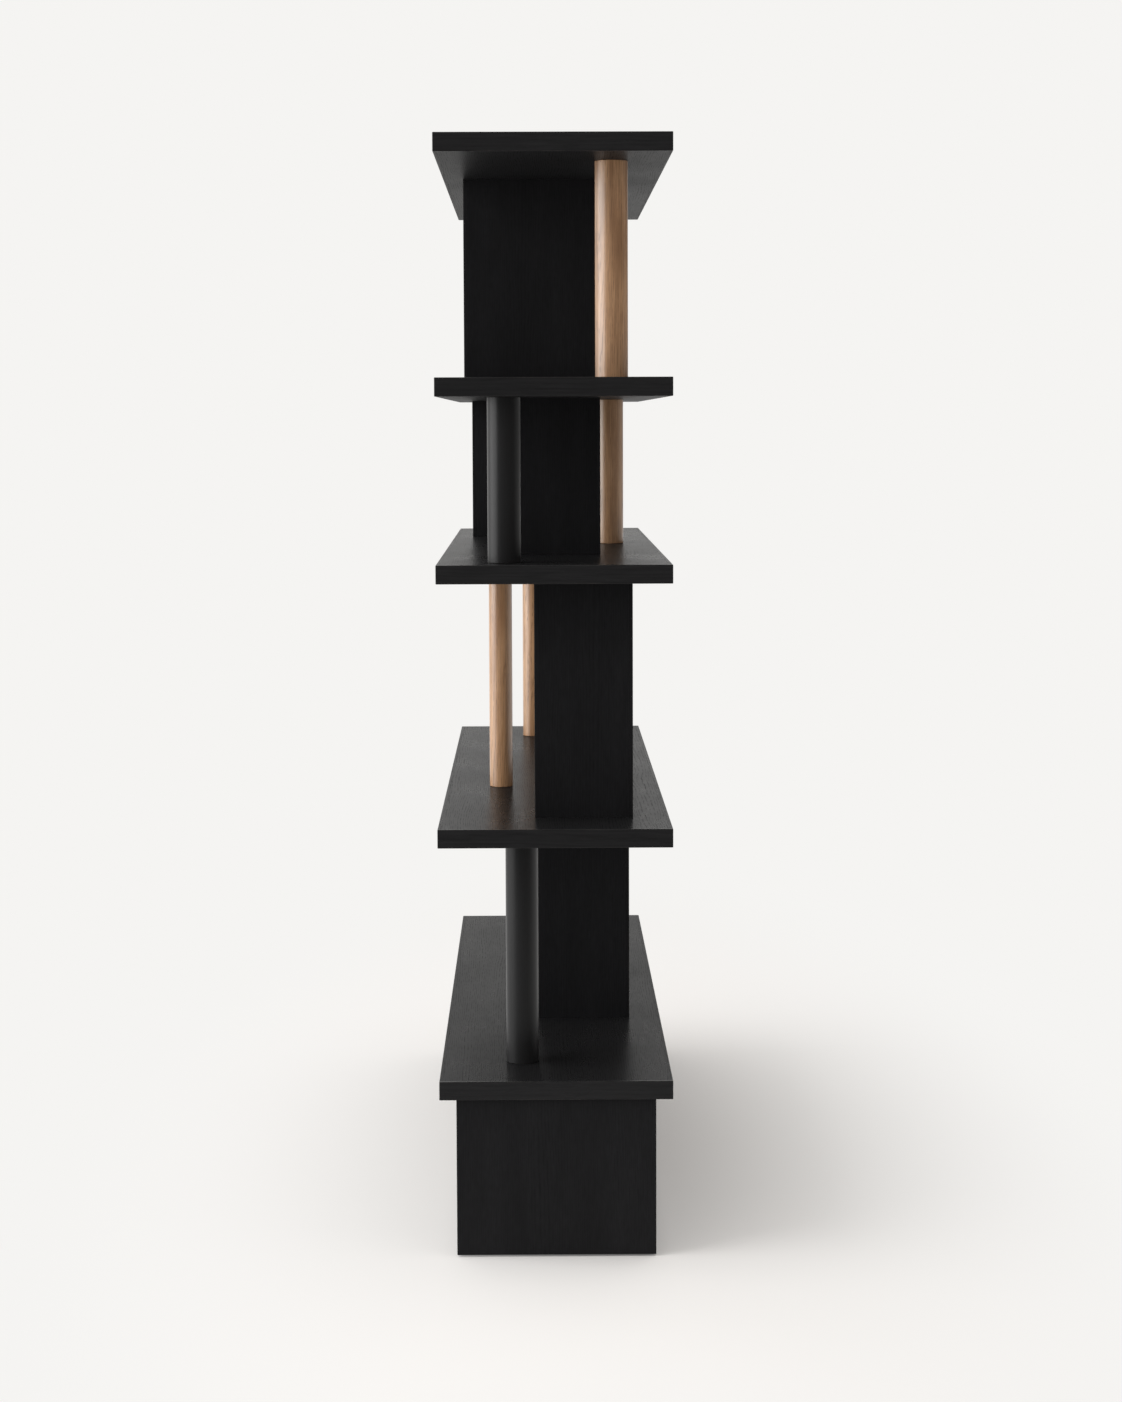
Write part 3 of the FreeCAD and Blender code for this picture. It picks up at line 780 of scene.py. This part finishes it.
class Bench:
    """The modelling bench: primitives, edit-mode steps and copies, all worked with operators."""

    smooth_angle = math.radians(40)
    key_digits = 4
    patterns: ClassVar[dict[tuple, tuple[Piece, Vector]]] = {}

    @staticmethod
    def clear() -> None:
        """Deselects everything, in object mode."""
        if bpy.context.mode != "OBJECT":
            bpy.ops.object.mode_set(mode="OBJECT")
        bpy.ops.object.select_all(action="DESELECT")

    @classmethod
    def hold(cls, piece: Piece) -> None:
        """Makes one piece the only selected and active one.

        Args:
            piece: The piece.
        """
        cls.clear()
        piece.select_set(True)
        bpy.context.view_layer.objects.active = piece

    @staticmethod
    def settle(name: str) -> Piece:
        """Names the piece just added and puts its place into its mesh.

        Args:
            name: The piece's name.

        Returns:
            The piece.
        """
        piece = bpy.context.view_layer.objects.active
        piece.name = name
        piece.data.name = name
        bpy.ops.object.transform_apply(location=True, rotation=True, scale=True)
        return piece

    @classmethod
    def block(cls, name: str, low: Vector, high: Vector) -> Piece:
        """Starts a piece from a block between two corners.

        Args:
            name: The piece's name.
            low: Lowest corner.
            high: Highest corner.

        Returns:
            The piece.
        """
        cls.clear()
        bpy.ops.mesh.primitive_cube_add(size=1.0, location=(low + high) / 2, scale=high - low)
        return cls.settle(name)

    @classmethod
    def bar(cls, name: str, low: Vector, high: Vector, sides: int) -> Piece:
        """Starts a piece from an upright round bar that fills the box between two corners.

        Args:
            name: The piece's name.
            low: Lowest corner of the box.
            high: Highest corner of the box.
            sides: Faces round the bar.

        Returns:
            The piece.
        """
        cls.clear()
        size = high - low
        bpy.ops.mesh.primitive_cylinder_add(
            vertices=sides, radius=size.y / 2, depth=size.z, location=(low + high) / 2, end_fill_type="NGON"
        )
        return cls.settle(name)

    @classmethod
    @contextmanager
    def edit(cls, piece: Piece) -> Iterator[None]:
        """Holds one piece in edit mode, with all of it selected.

        Args:
            piece: The piece.

        Yields:
            Nothing, while the piece is held.
        """
        cls.hold(piece)
        bpy.ops.object.mode_set(mode="EDIT")
        bpy.ops.mesh.select_all(action="SELECT")
        yield
        bpy.ops.object.mode_set(mode="OBJECT")

    @classmethod
    def ease(cls, piece: Piece, wanted: EdgeTest, width: float, steps: int) -> None:
        """Bevels the edges of a piece that pass a test.

        Args:
            piece: The piece.
            wanted: The test on an edge's two ends.
            width: Width of the bevel.
            steps: Segments of the bevel.
        """
        with cls.edit(piece):
            bpy.ops.mesh.select_all(action="DESELECT")
            bpy.ops.mesh.select_mode(type="EDGE")
            mesh = bmesh.from_edit_mesh(piece.data)
            for edge in mesh.edges:
                if wanted(edge.verts[0].co, edge.verts[1].co):
                    edge.select_set(True)
            bmesh.update_edit_mesh(piece.data)
            bpy.ops.mesh.bevel(offset_type="OFFSET", offset=width, segments=steps, affect="EDGES")

    @classmethod
    def saw(cls, piece: Piece, point: Vector, way: Vector) -> None:
        """Saws off what lies past a plane and closes the cut.

        Args:
            piece: The piece.
            point: A point of the plane.
            way: The way to what comes off, square to the plane.
        """
        with cls.edit(piece):
            bpy.ops.mesh.bisect(plane_co=point, plane_no=way.normalized(), use_fill=True, clear_outer=True)

    @classmethod
    def smooth(cls, piece: Piece, flat: NormalTest) -> None:
        """Shades a piece, marks its eased faces and its underside, and weighs its normals by face.

        Args:
            piece: The piece.
            flat: The test on the normal of a face that isn't eased.
        """
        cls.hold(piece)
        bpy.ops.object.shade_smooth_by_angle(angle=cls.smooth_angle)
        tests = {EASED: lambda normal: not flat(normal), UNDER: looks_down}
        for name, marked in tests.items():
            marks = piece.data.attributes.new(name, "FLOAT", "FACE")
            for polygon in piece.data.polygons:
                marks.data[polygon.index].value = float(marked(polygon.normal))
        weights = piece.modifiers.new("face_weights", "WEIGHTED_NORMAL")
        weights.keep_sharp = True
        bpy.ops.object.modifier_apply(modifier=weights.name)

    @staticmethod
    def copy(piece: Piece, name: str, move: Matrix) -> Piece:
        """Copies a piece, with its own mesh, to another place.

        Args:
            piece: The piece.
            name: The copy's name.
            move: Takes the piece to the copy's place.

        Returns:
            The copy.
        """
        twin = bpy.data.objects.new(name, piece.data.copy())
        twin.data.name = name
        twin.data.transform(move)
        bpy.context.scene.collection.objects.link(twin)
        return twin

    @classmethod
    def repeat(cls, name: str, kind: str, low: Vector, high: Vector, make: Callable[[str], Piece]) -> Piece:
        """Models a piece the first time that its kind comes up in its size, and copies that one later.

        Args:
            name: The piece's name.
            kind: What is modelled.
            low: Lowest corner of the box that gives its size and place.
            high: Highest corner of that box.
            make: Models the first one.

        Returns:
            The piece.
        """
        key = (kind, *(round(size, cls.key_digits) for size in high - low))
        if key not in cls.patterns:
            cls.patterns[key] = (make(name), low.copy())
            return cls.patterns[key][0]
        pattern, first = cls.patterns[key]
        return cls.copy(pattern, name, Matrix.Translation(low - first))


def dress(piece: Piece, finish: Finish, node: str) -> None:
    """Gives a new piece its finish, its body and the node that it stands for.

    Args:
        piece: The new piece.
        finish: The finish.
        node: The node that it stands for.
    """
    piece.data.materials.clear()
    piece.data.materials.append(finish.material())
    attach(piece, ROOT)
    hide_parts(node)
    LOG.info("%s: %d faces, %s", piece.name, len(piece.data.polygons), finish.name)


@dataclass
class LippedBoard:
    """What shelves and panels share: a veneered board with lippings."""

    name: str
    arris: float = 0.001
    arris_steps: int = 4
    joint: float = 0.0002
    low: Vector = field(init=False)
    high: Vector = field(init=False)
    board_low: Vector = field(init=False)
    board_high: Vector = field(init=False)
    outermost: ClassVar[str] = ""

    def __post_init__(self) -> None:
        """Reads the sizes of the board, and of the lippings that reach its ends, from the frame."""
        self.board_low, self.board_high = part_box(self.name)
        self.low, self.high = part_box(f"{self.name}_{self.outermost}")

    def chamfered(self, name: str, joints: EdgeTest) -> Piece:
        """Models the board, with a hairline chamfer where the lippings meet it.

        Args:
            name: The piece's name.
            joints: The test on the two ends of an edge with a chamfer.

        Returns:
            The piece.
        """
        board = Bench.block(name, self.board_low, self.board_high)
        Bench.ease(board, joints, self.joint, 1)
        Bench.smooth(board, square_on)
        return board

    def lipped(self, name: str, low: Vector, high: Vector, arrises: EdgeTest) -> Piece:
        """Models one lipping with eased arrises, and its twin, turned half round the board's middle.

        Args:
            name: The piece's name.
            low: Lowest corner of the one lipping.
            high: Highest corner of the one lipping.
            arrises: The test on the two ends of an eased edge.

        Returns:
            The piece.
        """
        middle = (self.low + self.high) / 2
        lips = Bench.block(name, low, high)
        Bench.ease(lips, arrises, self.arris, self.arris_steps)
        with Bench.edit(lips):
            bpy.ops.mesh.duplicate()
            bpy.ops.transform.rotate(value=math.pi, orient_axis="Z", center_override=middle)
        Bench.smooth(lips, square_on)
        return lips


@dataclass
class Shelf(LippedBoard):
    """One shelf: a veneered board with lippings on its ends and, between those, on its sides."""

    outermost: ClassVar[str] = "end_lippings"

    def build(self) -> None:
        """Models the board and its lippings and dresses them."""
        inner = (self.board_low, self.board_high)
        outer = (self.low, self.high)
        board = Bench.repeat(f"{self.name}_board", "shelf", *inner, self.model_board)
        ends = Bench.repeat(f"{self.name}_end_lips", "shelf_ends", *outer, self.model_ends)
        sides = Bench.repeat(f"{self.name}_side_lips", "shelf_sides", *outer, self.model_sides)
        dress(board, BLACK_BOARD, self.name)
        dress(ends, BLACK_END, f"{self.name}_end_lippings")
        dress(sides, BLACK_SIDE, f"{self.name}_side_lippings")

    def model_board(self, name: str) -> Piece:
        """Models the board, chamfered along its level edges."""
        return self.chamfered(name, lambda a, b: abs(a.z - b.z) < self.joint)

    def model_ends(self, name: str) -> Piece:
        """Models the end lippings, over the whole depth, with eased outer edges."""
        low = Vector((self.board_high.x, self.low.y, self.low.z))
        return self.lipped(name, low, self.high, lambda a, b: max(a.x, b.x) > low.x + self.arris)

    def model_sides(self, name: str) -> Piece:
        """Models the side lippings, between the end lippings, with eased outer edges.

        Args:
            name: The piece's name.

        Returns:
            The piece.
        """
        low = Vector((self.board_low.x, self.board_high.y, self.low.z))
        high = Vector((self.board_high.x, self.high.y, self.high.z))
        return self.lipped(name, low, high, lambda a, b: min(a.y, b.y) > low.y + self.arris and a.z == b.z)


@dataclass
class Panel(LippedBoard):
    """One upright panel: a veneered board with lippings on its upright edges."""

    outermost: ClassVar[str] = "lippings"

    def build(self) -> None:
        """Models the board and its lippings and dresses them."""
        inner = (self.board_low, self.board_high)
        board = Bench.repeat(f"{self.name}_board", "panel", *inner, self.model_board)
        lips = Bench.repeat(f"{self.name}_lips", "panel_lips", self.low, self.high, self.model_lips)
        dress(board, BLACK_UPRIGHT, self.name)
        dress(lips, BLACK_UPRIGHT_LIP, f"{self.name}_lippings")

    def stands(self, first: Vector, second: Vector) -> bool:
        """Tells an upright edge by its two ends."""
        return abs(first.z - second.z) > self.arris

    def model_board(self, name: str) -> Piece:
        """Models the board, chamfered along its upright edges."""
        return self.chamfered(name, self.stands)

    def model_lips(self, name: str) -> Piece:
        """Models the two lippings, with eased outer edges.

        Args:
            name: The piece's name.

        Returns:
            The piece.
        """
        low = Vector((self.low.x, self.board_high.y, self.low.z))
        return self.lipped(
            name, low, self.high, lambda a, b: min(a.y, b.y) > low.y + self.arris and self.stands(a, b)
        )


@dataclass
class Post:
    """One turned post with eased ends, black unless it is turned from a length of oak."""

    name: str
    oak: Optional[tuple[int, float]] = None
    arris: float = 0.001
    arris_steps: int = 4
    sides: int = 96
    cap_ring: float = 0.008
    low: Vector = field(init=False)
    high: Vector = field(init=False)

    def __post_init__(self) -> None:
        """Reads the post's sizes from the frame."""
        self.low, self.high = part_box(self.name)

    def build(self) -> None:
        """Models the post and dresses it."""
        post = Bench.repeat(f"{self.name}_turned", "post", self.low, self.high, self.model_post)
        if self.oak:
            dress(post, natural_oak(*self.oak), self.name)
        else:
            dress(post, BLACK_TURNED, self.name)

    def model_post(self, name: str) -> Piece:
        """Models the post from a bar, with inset end faces and eased rims.

        Args:
            name: The piece's name.

        Returns:
            The piece.
        """
        post = Bench.bar(name, self.low, self.high, self.sides)
        middle = (self.low + self.high) / 2
        radius = (self.high.y - self.low.y) / 2
        with Bench.edit(post):
            bpy.ops.mesh.select_mode(type="FACE")
            bpy.ops.mesh.select_face_by_sides(number=self.sides, extend=False)
            bpy.ops.mesh.inset(thickness=self.cap_ring, depth=0.0)

        def on_the_rim(first: Vector, second: Vector) -> bool:
            """Tells a level edge at the full radius."""
            reach = min(math.hypot(end.x - middle.x, end.y - middle.y) for end in (first, second))
            return abs(first.z - second.z) < self.arris and reach > radius - self.arris

        Bench.ease(post, on_the_rim, self.arris, self.arris_steps)
        Bench.smooth(post, level_or_upright)
        return post


@dataclass
class Plinth:
    """The closed plinth: four mitred boards, on felt pads."""

    arris: float = 0.001
    foot_steps: int = 3
    pads_in_row: int = 3
    pad_sides: int = 48
    pad_round: float = 0.0006
    pad_steps: int = 3
    end_low: Vector = field(init=False)
    end_high: Vector = field(init=False)
    side_low: Vector = field(init=False)
    side_high: Vector = field(init=False)

    def __post_init__(self) -> None:
        """Reads the plinth's sizes from the frame."""
        self.end_low, self.end_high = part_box("base_end_near")
        self.side_low, self.side_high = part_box("base_side_right")

    def build(self) -> None:
        """Models the boards and pads and dresses them."""
        half_turn = Matrix.Rotation(math.pi, 4, "Z")
        end = self.model_board("base_end_near_board", self.end_low, self.end_high, Vector((1, 0, 0)))
        side = self.model_board("base_side_right_board", self.side_low, self.side_high, Vector((0, 1, 0)))
        boards = {
            "base_end_near": end,
            "base_side_right": side,
            "base_end_far": Bench.copy(end, "base_end_far_board", half_turn),
            "base_side_left": Bench.copy(side, "base_side_left_board", half_turn),
        }
        for node, board in boards.items():
            dress(board, BLACK_UPRIGHT, node)
        dress(self.model_pads("felt_discs"), FELT, "felt_pads")

    def model_board(self, name: str, low: Vector, high: Vector, facing: Vector) -> Piece:
        """Models one board: cut to its mitres, its corner tips taken off and its foot eased.

        Args:
            name: The piece's name.
            low: Lowest corner.
            high: Highest corner.
            facing: The way that its outer face looks.

        Returns:
            The piece.
        """
        run = Vector((facing.y, facing.x, 0.0))
        outer = Vector((self.end_high.x, self.side_high.y, 0.0))
        board = Bench.block(name, low - run * self.arris, high + run * self.arris)
        for side in (-run, run):
            corner = facing * outer.dot(facing) + side * outer.dot(run)
            Bench.saw(board, corner, side - facing)
            Bench.saw(board, corner - facing * self.arris, side + facing)
        hair = self.arris / 4

        def at_the_foot(first: Vector, second: Vector) -> bool:
            """Tells an edge along the foot of the outer face."""
            on_face = min(first.dot(facing), second.dot(facing)) > high.dot(facing) - hair
            return on_face and max(first.z, second.z) < low.z + hair

        Bench.ease(board, at_the_foot, self.arris, self.foot_steps)
        Bench.smooth(board, square_on)
        return board

    def model_pads(self, name: str) -> Piece:
        """Models one felt disc with rounded rims and copies it to each place under the long boards.

        Args:
            name: The piece's name.

        Returns:
            The piece.
        """
        low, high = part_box("felt_pads")
        width = 2 * (high.y - (self.side_low.y + self.side_high.y) / 2)
        steps = self.pads_in_row - 1
        along = (high.x - low.x - width) / steps
        across = high.y - low.y - width
        pads = Bench.bar(name, low, Vector((low.x + width, low.y + width, high.z)), self.pad_sides)
        Bench.ease(pads, lambda a, b: abs(a.z - b.z) < self.pad_round, self.pad_round, self.pad_steps)
        with Bench.edit(pads):
            for _ in range(steps):
                bpy.ops.mesh.duplicate()
                bpy.ops.transform.translate(value=(along, 0.0, 0.0))
            bpy.ops.mesh.select_all(action="SELECT")
            bpy.ops.mesh.duplicate()
            bpy.ops.transform.translate(value=(0.0, across, 0.0))
        Bench.smooth(pads, level_or_upright)
        return pads


class Fittings:
    """The hidden nodes of the frame, which stay as they are and get their finishes."""

    finishes: ClassVar[dict[str, Finish]] = {
        "base_rib_near": TIMBER.laid(GrainRun.ACROSS),
        "base_rib_far": TIMBER.laid(GrainRun.ACROSS),
        "base_cleat_left": TIMBER.laid(GrainRun.ALONG),
        "base_cleat_right": TIMBER.laid(GrainRun.ALONG),
        "corner_blocks": TIMBER.laid(GrainRun.UPRIGHT),
        "rib_dowels": BEECH.laid(GrainRun.ACROSS),
        "panel_dowels": BEECH.laid(GrainRun.UPRIGHT),
        "post_studs": ZINC,
        "base_screws": ZINC,
        "stud_sleeves": BRASS,
    }

    def dress(self) -> None:
        """Gives each hidden node its finish."""
        for name, finish in self.finishes.items():
            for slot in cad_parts[name].material_slots:
                slot.material = finish.material()
            LOG.info("%s: kept from the frame, %s", name, finish.name)


@dataclass(frozen=True)
class Lamp:
    """One soft lamp of the studio."""

    name: str
    place: Triple
    target: Triple
    width: float
    height: float
    power: float

    def build(self) -> None:
        """Hangs the lamp and turns it to its target."""
        data = bpy.data.lights.new(self.name, "AREA")
        data.shape = "RECTANGLE"
        data.size = self.width
        data.size_y = self.height
        data.energy = self.power
        lamp = bpy.data.objects.new(self.name, data)
        lamp.location = self.place
        aim = Vector(self.target) - Vector(self.place)
        lamp.rotation_euler = aim.to_track_quat("-Z", "Y").to_euler()
        bpy.context.scene.collection.objects.link(lamp)
        LOG.info("%s: %g W", self.name, self.power)


@dataclass
class Studio:
    """The pale floor, the backdrop that it runs into, the lamps and the light of the room."""

    floor_size: float = 60.0
    paper: PaperFinish = PAPER
    room_tint: Colour = tone(255, 251, 247)
    room_levels: Span = (0.9, 0.42)
    fill_middle: Triple = (0.7, -0.7, 0.14)
    fill_bright: float = 0.9
    mirror_middle: Triple = (-0.64, -0.77, 0.0)
    mirror_span: Span = (0.12, 0.6)
    mirror_levels: Span = (0.03, 1.0)
    lamps: tuple[Lamp, ...] = (
        Lamp("key_lamp", place=(1.4, -4.6, 2.4), target=(0.0, 0.0, 1.0), width=5.4, height=4.4, power=230.0),
        Lamp("top_lamp", place=(0.0, 0.0, 5.4), target=(0.0, 0.0, 0.8), width=4.0, height=4.0, power=100.0),
    )

    def build(self) -> None:
        """Lays the floor, sets the room's light and hangs the lamps."""
        self.lay_floor()
        self.light_room()
        for lamp in self.lamps:
            lamp.build()
        bpy.context.scene.view_settings.view_transform = "Standard"

    def lay_floor(self) -> None:
        """Lays the paper floor, up to where it has faded in front of the bookshelf."""
        Bench.clear()
        middle = self.paper.front_span[1] - self.floor_size / 2
        bpy.ops.mesh.primitive_plane_add(size=self.floor_size, location=(middle, 0.0, 0.0))
        floor = Bench.settle("studio_floor")
        floor.data.materials.append(self.paper.material())

    def light_room(self) -> None:
        """Sets the world: a pale backdrop to look at, mirrored from the back left, and a room that lights.

        The room is dimmer on the camera's side, but for a fill on its left.
        """
        world = bpy.data.worlds.new("studio_room")
        world.use_nodes = True
        world.node_tree.nodes.clear()
        graph = Graph(world.node_tree)
        direction = graph.add("ShaderNodeTexCoord").outputs["Generated"]
        along = graph.add("ShaderNodeSeparateXYZ", {0: direction}).outputs["X"]
        ahead = graph.remap(along, (-1.0, 0.0), self.room_levels)
        fill = graph.remap(graph.dot(direction, self.fill_middle), (0.0, 1.0), (0.0, self.fill_bright))
        lit = {"Color": self.room_tint, "Strength": graph.most(ahead, fill)}
        room = graph.add("ShaderNodeBackground", lit).outputs[0]

        path = graph.add("ShaderNodeLightPath").outputs
        facing = graph.dot(direction, self.mirror_middle)
        mirrored = graph.remap(facing, self.mirror_span, self.mirror_levels)
        plain = {"Color": self.paper.backdrop, "Strength": graph.most(path["Is Camera Ray"], mirrored)}
        shown = graph.add("ShaderNodeBackground", plain).outputs[0]
        seen = graph.most(path["Is Camera Ray"], path["Is Glossy Ray"])
        seen = graph.most(seen, path["Is Transmission Ray"])
        mixed = graph.add("ShaderNodeMixShader", {0: seen, 1: room, 2: shown}).outputs[0]
        graph.add("ShaderNodeOutputWorld", {"Surface": mixed})
        bpy.context.scene.world = world


@dataclass(frozen=True)
class PhotoCamera:
    """The camera at the photograph's place: its angles are from a view straight along the shelves."""

    place: Triple = (5.1292, -0.0276, 1.2560)
    yaw: float = 0.00837
    pitch: float = 0.0942
    roll: float = -0.00359
    focal_px: float = 2979.15
    image_height_px: int = 1402
    sensor: float = 36.0

    def build(self) -> None:
        """Sets the camera up and makes it the scene's own."""
        data = bpy.data.cameras.new("photo_camera")
        data.sensor_width = self.sensor
        data.lens = self.focal_px * self.sensor / self.image_height_px
        camera = bpy.data.objects.new("photo_camera", data)
        heading = Matrix.Rotation(math.pi / 2 - self.yaw, 4, "Z")
        tilt = Matrix.Rotation(math.pi / 2 - self.pitch, 4, "X")
        lean = Matrix.Rotation(self.roll, 4, "Z")
        camera.matrix_world = Matrix.Translation(self.place) @ heading @ tilt @ lean
        bpy.context.scene.collection.objects.link(camera)
        bpy.context.scene.camera = camera


SHELVES = ("bottom_shelf", "lower_shelf", "middle_shelf", "upper_shelf", "top_shelf")
PANELS = (
    "level_1_near_panel",
    "level_1_far_panel",
    "level_2_near_panel",
    "level_2_far_panel",
    "level_3_narrow_panel",
    "level_3_wide_panel",
    "level_4_wide_panel",
    "level_4_narrow_panel",
)

# Each post, with the length of oak that it is turned from and the share that its colours are darkened to as
# painted shade, or nothing for a black one
POSTS = {
    "level_1_black_post": None,
    "level_1_oak_post": (2, 1.0),
    "level_2_oak_post_1": (0, 1.0),
    "level_2_oak_post_2": (13, 1.0),
    "level_3_black_post": None,
    # The level 3 oak post stands in shade beside the wide panel, so its colours carry painted shade
    "level_3_oak_post": (12, 0.76),
    "level_4_oak_post": (4, 0.95),
    "level_4_black_post": None,
}


def main() -> None:
    """Builds the bookshelf piece by piece, then the studio round it."""
    logging.basicConfig(level=logging.INFO, format="%(message)s")
    for name in SHELVES:
        Shelf(name).build()
    for name in PANELS:
        Panel(name).build()
    for name, oak in POSTS.items():
        Post(name, oak).build()
    Plinth().build()
    Fittings().dress()
    Studio().build()
    PhotoCamera().build()


if __name__ == "__main__":
    main()
